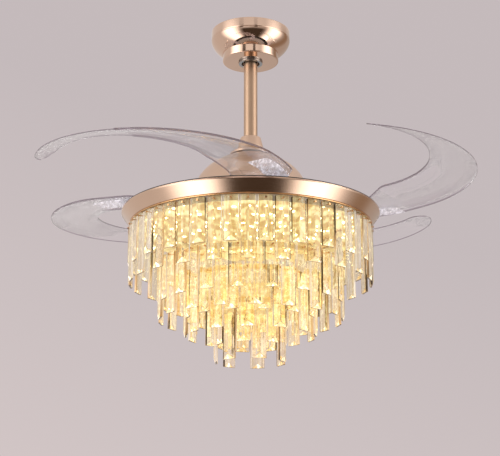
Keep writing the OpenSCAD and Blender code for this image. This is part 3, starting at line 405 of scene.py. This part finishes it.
# The motor stands inside the dome: its stator is wound on stacked sheets round a hollow shaft, and
# the cast housing with its magnets turns outside it on two ball bearings.
dress(plated("ground_steel", (0.60, 0.60, 0.61), 0.12, around, 80.0, 0.05), "motor_shaft",
    "bearing_inner_races", "bearing_outer_races", "bearing_balls")
stacked, w = new_finish("stacked_sheets")
spot = w.place()
sheets = w.node("TexWave", {"bands_direction": "Z"}, {"Vector": spot, "Scale": 320.0, "Distortion": 0.2},
    take=1)
tint = w.mixed(w.grain(spot, 60.0), (0.15, 0.16, 0.19), (0.26, 0.27, 0.30))
bump = w.node("Bump", None, {"Strength": 0.6, "Distance": 0.0003, "Height": sheets})
w.surface(w.node("BsdfPrincipled", None, {"Base Color": tint, "Metallic": 0.8, "Roughness": 0.5,
    "Normal": bump}))
dress(stacked, "stator_core")
copper, w = new_finish("copper_wire")
spot = w.place()
windings_and_groove_shade = w.node("TexWave", {"bands_direction": "DIAGONAL"}, {"Vector": spot, "Scale": 300.0}, take=1)
bump = w.node("Bump", None, {"Strength": 0.8, "Distance": 0.0004, "Height": windings_and_groove_shade})
# The colour darkens in the grooves between the turns: painted shade.
tint = w.mixed(windings_and_groove_shade, (0.40, 0.13, 0.05), (0.72, 0.30, 0.14))
w.surface(w.node("BsdfPrincipled", None, {"Base Color": tint, "Metallic": 1.0, "Roughness": 0.3,
    "Normal": bump}))
dress(copper, "stator_windings")
dress(plated("dark_nickel", (0.10, 0.10, 0.11), 0.35, fineness=200.0), "magnets")
cast_alloy = plated("cast_alloy", (0.50, 0.50, 0.51), 0.42, fineness=420.0, depth=0.5, spread=0.08)
dress(cast_alloy, "motor_housing", "motor_end_plate", "rotor_plate")
dress(moulded("cable_sheath", (0.05, 0.05, 0.055), 0.5), "supply_cable")


# The dome over the motor is spun aluminium with a satin rose gold coating, and its straight skirt
# reaches down round the motor. It turns with the blades.
satin_gold = plated("satin_rose_gold", (0.72, 0.50, 0.37), 0.17, around, 40.0, 0.05)
dome_skirt_r, dome_foot, dome_top = size_of("dome_cover")
dome_wall, dome_hole_r, dome_top_r, dome_rim_r, dome_rim_z = 1.2, 20.0, 40.0, 105.5, dome_top - 53
shoulder_r, shoulder_deep = dome_rim_r - 14, 20.14


def dome_side(inset):
    """The dome from its flat top's edge, over the shoulder and down the skirt, inset from its outer face."""
    top = (dome_top_r - 0.3 * inset, dome_top - inset)
    bend = (shoulder_r + 0.3 * inset, dome_top - shoulder_deep - 0.6 * inset)
    return [*curve(top, bend, (dome_rim_r - inset, dome_rim_z), 30), (dome_skirt_r - inset, dome_foot, 0.4)]


dome_outline = [(dome_hole_r, dome_top, 0.4), *dome_side(0), *dome_side(dome_wall)[::-1],
    (dome_hole_r, dome_top - dome_wall, 0.4)]
build("dome_shell", *lathe(rounded(dome_outline)), satin_cup, "rotor", "satin_gold", "dome_cover")


# Each blade turns on a shouldered bolt in a streaked, half clear hub, whose teeth mesh with a ring
# that moves all four blades together. A spring round the bolt draws the blade in when the fan stops.
hub_frost_and_glow, w = new_finish("streaked_hub_painted_glow")
spot = w.place()
streaks = w.grain(w.scaled(spot, (30, 8, 8)), 6.0, 5.0)
ripple = w.node("Bump", None, {"Strength": 0.3, "Distance": 0.001, "Height": streaks})
tint = w.mixed(streaks, (0.60, 0.56, 0.62), (1.0, 0.99, 1.0))
# The hub glows faintly along its streaks: a painted glow, since the hub is no lamp.
hub_painted_glow = w.mixed(streaks, (0.25, 0.23, 0.27), (0.9, 0.88, 0.95))
w.surface(w.node("BsdfPrincipled", None, {"Base Color": tint, "Roughness": 0.25 + 0.2 * streaks,
    "IOR": 1.3, "Transmission Weight": 0.2, "Alpha": (streaks * 2.4 - 0.75).clipped(),
    "Emission Color": hub_painted_glow, "Emission Strength": 0.45, "Normal": ripple}))
dress(hub_frost_and_glow, *[f"blade_hub_{i}" for i in range(1, 5)])
dress(moulded("ring_nylon", (0.62, 0.58, 0.49), 0.42, scatter=0.1), "sync_ring")
dress(plated("spring_wire", (0.42, 0.42, 0.43), 0.25, (1, 1, 90), 60.0, 0.6), "return_springs")


# The blades are clear moulded plastic, frosted at the root, with a painted dark shade along their edges
# and rim steps. Each is a thin web between two thicker rims, with a plain tip section joined on, and it
# curves round the fan so that it can fold away over the lamp.
clear_blade, w = new_finish("clear_blade")
spot = w.place()
haze = w.grain(w.scaled(spot, (1, 1, 4)), 6.0)
frost = w.node("Attribute", {"attribute_name": "frost"}, None, take=2)
streaks = w.grain(w.scaled(spot, (26, 5, 5)), 7.0, 5.0)
ripple = w.node("Bump", None, {"Strength": 0.05, "Distance": 0.001, "Height": haze})
edge = w.node("Attribute", {"attribute_name": "edge"}, None, take=2)
# Towards the edges and rim steps the colour turns dark and the alpha rises: painted shade, not a tint of the
# plastic.
tint = w.mixed((edge * 1.6 - 0.6).clipped(), w.mixed(haze, (0.90, 0.89, 0.94), (0.97, 0.96, 0.985)),
    (0.20, 0.15, 0.19))
clear = w.node("BsdfPrincipled", None, {"Base Color": tint, "Roughness": 0.02 + 0.03 * haze, "IOR": 1.12,
    "Transmission Weight": 1.0, "Coat Weight": 0.05, "Coat Roughness": 0.03,
    "Alpha": 0.20 + 0.08 * haze + 0.65 * edge, "Normal": ripple})
milk = w.mixed(streaks, (0.66, 0.65, 0.70), (0.93, 0.93, 0.97))
milky = w.node("BsdfPrincipled", None, {"Base Color": milk, "Roughness": 0.3 + 0.2 * streaks,
    "IOR": 1.2, "Transmission Weight": 0.6, "Alpha": 0.35 + 0.5 * streaks})
w.surface(w.node("MixShader", None, {0: (frost * (0.35 + 0.9 * streaks)).clipped(), 1: clear, 2: milky}))

# The blade is drawn as it lies folded, running round from its pivot. Places along it are angles in
# degrees round the fan, rises are millimetres in each radian, and the rest is millimetres.
pivot_r, pad_r, first_pivot, swing = 175.0, 44.0, 6.8, 84.0
outer_r, inner_root, inner_tip, root_narrow, narrow_arc = 234.95, 84.0, 200.0, 36.0, 34.0
wing_start, web_start, tip_joint, tip_end, tip_round = 14.0, 37.0, 108.0, 177.0, 12.0
root_half, rim_half, web_half, rim_wide, edge_round = 2.0, 2.2, 1.0, 22.0, 1.5
rise, rise_growth, pitch_lift, lift_growth, tip_settle, rise_arc = 6.1, 1.0, 10.5, 3.5, 7.5, 30.0
root_end, tip_outer_share = wing_start + 1, 0.35
pad_edge, pad_ahead, bolt_stands = 0.94 * pad_r, 0.34 * pad_r, 3.0
root_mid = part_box("pivot_bolts")[1].z * 1000 - bolt_stands - root_half


def smooth(t):
    t = min(1.0, max(0.0, t))
    return t * t * (3 - 2 * t)


def line_radius(a, start, end):
    """Radius at which the ray at angle a meets the line from start to end."""
    ray = Vector((math.cos(a), -math.sin(a)))
    way = Vector(end) - Vector(start)
    return (start[0] * way.y - start[1] * way.x) / (ray.x * way.y - ray.y * way.x)


def inner_radius(a):
    straight = inner_root + (inner_tip - inner_root) * (a - wing_start) / (tip_end - wing_start)
    return straight + root_narrow * (1 - smooth((a - wing_start) / narrow_arc))


def edges(a):
    """Radii of the blade's outer and inner edges, a degrees round the fold from its pivot."""
    if a > root_end:
        full = outer_r - inner_radius(a)
        s = max(0.0, (a - tip_end + tip_round) / tip_round)
        wide = full * math.sqrt(max(0.002, 1 - s * s))
        out = outer_r - (full - wide) * tip_outer_share
        return out, out - wide
    turn = math.radians(a)
    arm = math.sqrt(max(0.0, pad_r ** 2 - (pivot_r * math.sin(turn)) ** 2))
    out, inner = pivot_r * math.cos(turn) + arm, pivot_r * math.cos(turn) - arm
    start = math.radians(root_end)
    reach = inner_radius(root_end)
    if a > -math.degrees(math.atan2(pad_ahead, pivot_r + pad_edge)):
        out = line_radius(turn, (pivot_r + pad_edge, pad_ahead),
            (outer_r * math.cos(start), -outer_r * math.sin(start)))
    if a > -math.degrees(math.atan2(pad_ahead, pivot_r - pad_edge)):
        inner = line_radius(turn, (pivot_r - pad_edge, pad_ahead),
            (reach * math.cos(start), -reach * math.sin(start)))
    return out, inner


def height(a, u):
    """Height of the blade's middle at angle a, where u runs from 0 at the outer edge to 1 at the inner."""
    t = math.radians(a)
    tip = max(0.0, a - tip_joint) / (tip_end - tip_joint)
    lift = rise * t + rise_growth * t * t + u * (pitch_lift + lift_growth * t - tip_settle * tip * tip)
    return root_mid + smooth((a - wing_start) / rise_arc) * lift


def blade_ring(a):
    """Points round the blade's section at angle a: along the bottom from outer to inner edge, and back."""
    out, inner = edges(a)
    full = outer_r - inner_radius(max(a, wing_start))
    wide = out - inner
    rim = min(rim_wide, wide * 0.4)
    edge = min(edge_round, wide * 0.1)
    half = root_half if a < web_start else rim_half if a < tip_joint else web_half
    thin = half if a < web_start or a > tip_joint else web_half
    slope = min(1.6, wide * 0.05)
    # The round of the edge: how far in, and how much of half the thickness is reached there.
    edge_steps = [(0, 0.25), (0.12 * edge, 0.55), (0.45 * edge, 0.85), (edge, 1)]
    sides = [(d, half * k) for d, k in edge_steps]
    sides += [(rim - slope, half), (rim - slope * 0.5, (half + thin) / 2), (rim, thin), (wide * 0.47, thin)]
    across = sides + [(wide - d, h) for d, h in reversed(sides)]
    turn = math.radians(a)
    ring = []
    for sign, row in ((-1, across), (1, across[::-1])):
        for d, h in row:
            r = out - d
            u = (outer_r - r) / full
            ring.append((r * math.cos(turn), -r * math.sin(turn), height(a, u) + sign * h))
    return ring


# Angles of the sections, closer together where the blade's width or thickness changes.
stations = [-14.5 + 0.35 * k for k in range(5)] + [-12.5 + 1.6 * k for k in range(17)]
stations += [15.2, 16.5, 18, 20, 22.5, 25, 27.5, 30, 32.5, 35, 36.5, 36.9, 37.3, 38, 40]
stations += [42 + 2 * k for k in range(33)] + [107.6, 107.9, 108.15, 108.5]
stations += [110 + 2 * k for k in range(28)] + [165.5, 167, 168.5, 170, 171.5, 173, 174, 175]
stations += [175.8, 176.4, 176.8]
stations.sort()
# How much each point of a ring, counted from an edge inwards, carries the painted dark shade of the edge or
# step.
edge_shade_marks = (1, 1, 1, 0.3, 0, 0.5, 0, 0)
# The frost lies over the root and between two radii, and fades out at its borders.
frost_end, frost_inner, frost_outer = (24, 14), (178, 8), (218, 6)

rings = [blade_ring(a) for a in stations]
n = len(rings[0])
row = n // 2
folded = [Vector(p) for ring in rings for p in ring]
faces = [(s * n + k, s * n + (k + 1) % n, (s + 1) * n + (k + 1) % n, (s + 1) * n + k)
    for s in range(len(rings) - 1) for k in range(n)]
faces += [tuple(range(n)), tuple(range((len(rings) - 1) * n, len(rings) * n))]
pivot = Vector((pivot_r, 0, 0))
for i in range(4):
    direction = math.radians(first_pivot - 90 * i)
    opened = Matrix.Rotation(direction, 4, "Z") @ Matrix.Translation(pivot) @ Matrix.Rotation(
        math.radians(swing), 4, "Z") @ Matrix.Translation(-pivot)
    points = [opened @ p / 1000 for p in folded]
    blade = build(f"clear_blade_{i + 1}", points, faces, clear_blade, f"wing_{i + 1}", "blade_clear",
        f"blade_{i + 1}", sharp=60)
    mark = blade.data.attributes.new("frost", "FLOAT", "POINT")
    edge_shade_mark = blade.data.attributes.new("edge", "FLOAT", "POINT")
    for k, p in enumerate(folded):
        a = stations[k // n]
        r = math.hypot(p.x, p.y)
        past_end, past_inner, past_outer = (smooth((place - start) / fade) for place, (start, fade)
            in ((a, frost_end), (r, frost_inner), (r, frost_outer)))
        mark.data[k].value = (1 - past_end) * past_inner * (1 - past_outer)
        edge_shade_mark.data[k].value = edge_shade_marks[min(k % row, row - 1 - k % row)]


# The lamp hangs below on the still shaft: a steel tray with a nut under it, and round it the
# satin rose gold band, spun to a plain slope that ends in a polished bead. The tray is near black, a
# painted shade for the shaded gap that shows as a dark line at the band's top.
dress(plated("near_black_gap_shade", (0.012, 0.011, 0.011), 0.4, metal=0.2), "lamp_tray")
band_r, band_foot, band_top = size_of("ring_band")
band_wall, band_flange, band_taper, band_upright = 1.5, 12.0, 15.5, 3.0
band_foot_r, slope_top = band_r - band_taper, band_top - band_upright
slant = math.atan(band_taper / (slope_top - band_foot))
inner_foot_r = round(band_foot_r - band_wall * math.tan(math.pi / 4 - slant / 2), 2)
inner_slope_top = round(slope_top + band_wall * math.tan(slant / 2), 2)
band_outline = [(band_r - band_flange, band_top, 0.4), (band_r, band_top, 0.6), (band_r, slope_top, 1.2),
    (band_foot_r, band_foot, 0.5), (band_foot_r - band_flange, band_foot, 0.4),
    (band_foot_r - band_flange, band_foot + band_wall, 0.3), (inner_foot_r, band_foot + band_wall, 0.5),
    (band_r - band_wall, inner_slope_top, 0.5), (band_r - band_wall, band_top - band_wall, 0.3),
    (band_r - band_flange, band_top - band_wall, 0.3)]
build("band_shell", *lathe(rounded(band_outline), 288), satin_gold, "hanging", "satin_gold", "ring_band")
wire_gold = plated("polished_gold_wire", (0.72, 0.42, 0.20), 0.2, fineness=50.0, depth=0.05)
wire_r = 1.6
bead_r, bead_z = band_foot_r - 1.4, band_foot - wire_r
bead_outline = [Vector((bead_r + wire_r * math.cos(t), bead_z + wire_r * math.sin(t))) / 1000
    for t in (math.pi * k / 8 for k in range(16))]
build("bead_wire", *lathe(bead_outline, 288), wire_gold, "hanging", "wire_gold", "ring_bead")


# The light panel is a white board closed under the band, with rows of warm light chips on it. The
# board itself glows in yellow and white patches: a painted glow for the chips' light seen along it.
def glowing(name, colour, dim, glow, strength):
    finish, w = new_finish(name)
    spot = w.place()
    cloud = w.grain(spot, 45.0)
    patch = (w.grain(w.scaled(spot, (1.0, 0.4, 1.0)), 62.0, 1.5) * 6.0 - 2.7).clipped()
    tint = w.mixed(cloud, [c * 0.94 for c in colour], colour)
    w.surface(w.node("BsdfPrincipled", None, {"Base Color": tint, "Roughness": 0.4 + 0.1 * cloud,
        "Emission Color": w.mixed(patch, dim, glow), "Emission Strength": strength}))
    return finish


dress(glowing("light_board_painted_glow", (0.66, 0.58, 0.42), (0.42, 0.25, 0.05), (1.0, 0.95, 0.55), 0.78), "light_panel")
dress(glowing("light_chip", (1.0, 0.9, 0.7), (1.0, 0.86, 0.42), (1.0, 0.94, 0.60), 8.0), "led_chips")


# The crystals hang by hooks from pale gold hoops: flat bars of cut glass with a ridge down the front,
# a three-cornered facet at the foot, and polished bevels. The bevels carry a painted reflection of
# gold, dark and white, and the faces at the foot under each facet a painted brown shade.
pale_gold = plated("satin_pale_gold", (0.97, 0.91, 0.76), 0.4, around, 60.0, 0.1, metal=0.1)
dress(pale_gold, "crystal_hoops", "hoop_rods")
dress(wire_gold, "crystal_hooks")


# The glass of a crystal glows, though it is no lamp: a painted glow, bright in patches along its flutes and
# in small painted sparkles, dim and amber elsewhere.
def crystal(name, glow, strength, clear=1.0):
    finish, w = new_finish(name)
    spot = w.place()
    flute = w.grain(w.scaled(spot, (1, 1, 0.04)), 240.0, 1.0)
    patch = (w.grain(w.scaled(spot, (1, 1, 0.5)), 75.0, 1.0) * 4.5 - 2.1).clipped()
    painted_sparkle = (w.grain(spot, 170.0, 1.0) * 9.0 - 5.2).clipped()
    streak = (flute * 4.0 - 1.6).clipped()
    tone = w.mixed(streak, (0.90, 0.83, 0.62), (1.0, 1.0, 0.95))
    dim = [c * k for c, k in zip(glow, (0.30, 0.17, 0.04))]
    light = w.mixed((patch * streak + painted_sparkle).clipped(), dim, glow)
    ripple = w.node("Bump", None, {"Strength": 0.12, "Distance": 0.002, "Height": w.grain(
        w.scaled(spot, (1, 1, 0.35)), 110.0, 1.0)})
    w.surface(w.node("BsdfPrincipled", None, {"Base Color": tone, "Roughness": 0.01 + 0.02 * flute,
        "IOR": 1.5, "Transmission Weight": clear, "Emission Color": light, "Emission Strength": strength,
        "Normal": ripple}))
    return finish


edge_glass, w = new_finish("crystal_edge_painted_reflection")
cut = w.grain(w.scaled(w.place(), (1, 1, 0.12)), 42.0, 1.0)
# From dark brown through amber to white along the cuts: a painted reflection, with a faint painted glow.
bevel_painted_reflection = w.node("ValToRGB", {"stops": [(0.41, (0.05, 0.03, 0.015)), (0.45, (0.62, 0.36, 0.15)),
    (0.50, (1.0, 0.72, 0.42)), (0.56, (1.0, 0.95, 0.86))]}, {0: cut})
w.surface(w.node("BsdfPrincipled", None, {"Base Color": bevel_painted_reflection, "Roughness": 0.08 + 0.05 * cut, "IOR": 1.5,
    "Transmission Weight": 0.4, "Emission Color": bevel_painted_reflection, "Emission Strength": 0.12}))
# The faces at the foot under each facet are opaque and dark brown: painted shade.
foot_shade_glass, w = new_finish("crystal_foot_painted_shade")
cut = w.grain(w.place(), 50.0)
foot_painted_shade = w.mixed(cut, (0.03, 0.02, 0.01), (0.55, 0.34, 0.16))
w.surface(w.node("BsdfPrincipled", None, {"Base Color": foot_painted_shade, "Roughness": 0.15 + 0.1 * cut}))


bar_half_wide, bar_back, bar_side, bar_ridge, facet_high, bevel = 13.5, -4.0, 0.5, 4.0, 10.0, 1.1
plain_face, edge_face, facet_face, foot_face = range(4)


def cut_bar(length):
    """One bar in metres, hanging from z = 0 with its ridge towards +X: points and (face, kind of face)."""
    form = bmesh.new()
    section = [(bar_back, -bar_half_wide), (bar_side, -bar_half_wide), (bar_ridge, 0),
        (bar_side, bar_half_wide), (bar_back, bar_half_wide)]
    rows = [[form.verts.new((x, y, z)) for x, y in section] for z in (0, -length)]
    form.faces.new(rows[0])
    form.faces.new(rows[1][::-1])
    for k in range(len(section)):
        beside = (k + 1) % len(section)
        form.faces.new((rows[0][k], rows[1][k], rows[1][beside], rows[0][beside]))
    slope = Vector((facet_high, 0, -(bar_ridge - bar_side))).normalized()
    whole = form.verts[:] + form.edges[:] + form.faces[:]
    cut = bmesh.ops.bisect_plane(form, geom=whole, plane_co=(bar_side, 0, -length), plane_no=slope,
        clear_outer=True)
    rim = [e for e in cut["geom_cut"] if isinstance(e, bmesh.types.BMEdge)]
    bmesh.ops.contextual_create(form, geom=rim)
    bmesh.ops.recalc_face_normals(form, faces=form.faces)
    bmesh.ops.bevel(form, geom=form.edges[:], offset=bevel, segments=1, affect="EDGES")
    form.verts.index_update()
    points = [v.co / 1000 for v in form.verts]
    faces = []
    for f in form.faces:
        middle = f.calc_center_median()
        kind = plain_face
        if f.normal.dot(slope) > 0.99:
            kind = facet_face
        elif middle.z < 0.7 * bevel - length and middle.x > bar_back + bevel:
            kind = foot_face
        elif abs(middle.y) > bar_half_wide - bevel:
            kind = edge_face
        faces.append(([v.index for v in f.verts], kind))
    form.free()
    return points, faces


# The facet at each foot glows brighter and whiter than the bar: a painted highlight.
facet_painted_highlight = crystal("crystal_facet_painted_highlight", (1.0, 0.98, 0.82), 1.5, 0.6)
yellow, amber = (1.0, 0.93, 0.52), (1.0, 0.82, 0.45)
# Each tier's radius, pairs of bars, turn in degrees, and the colour and strength of its painted glow.
tiers = [(232, 24, -91, yellow, 0.10), (175, 18, -87.2, yellow, 0.30), (124, 13, -92.4, yellow, 0.32),
    (66, 7, -76, amber, 0.22)]
for i, (radius, pairs, turn, tint, glow) in enumerate(tiers, 1):
    glass = crystal(f"crystal_tier_{i}", tint, glow)
    for offset, kind in enumerate(("long", "short")):
        _, foot, top = size_of(f"tier_{i}_{kind}_bars")
        bar_points, bar_faces = cut_bar(top - foot)
        points, faces, kinds = [], [], []
        for k in range(pairs):
            angle = math.radians(turn) + (2 * k + offset) * math.pi / pairs
            hang = Matrix.Rotation(angle, 4, "Z") @ Matrix.Translation((radius / 1000, 0, top / 1000))
            start = len(points)
            points += [hang @ p for p in bar_points]
            faces += [[start + v for v in face] for face, _ in bar_faces]
            kinds += [k for _, k in bar_faces]
        tier = build(f"tier_{i}_{kind}_crystals", points, faces, glass, "hanging", "crystal",
            f"tier_{i}_{kind}_bars", sharp=5)
        for finish in (edge_glass, facet_painted_highlight, foot_shade_glass):
            tier.data.materials.append(finish)
        for face, face_kind in zip(tier.data.polygons, kinds):
            face.material_index = face_kind
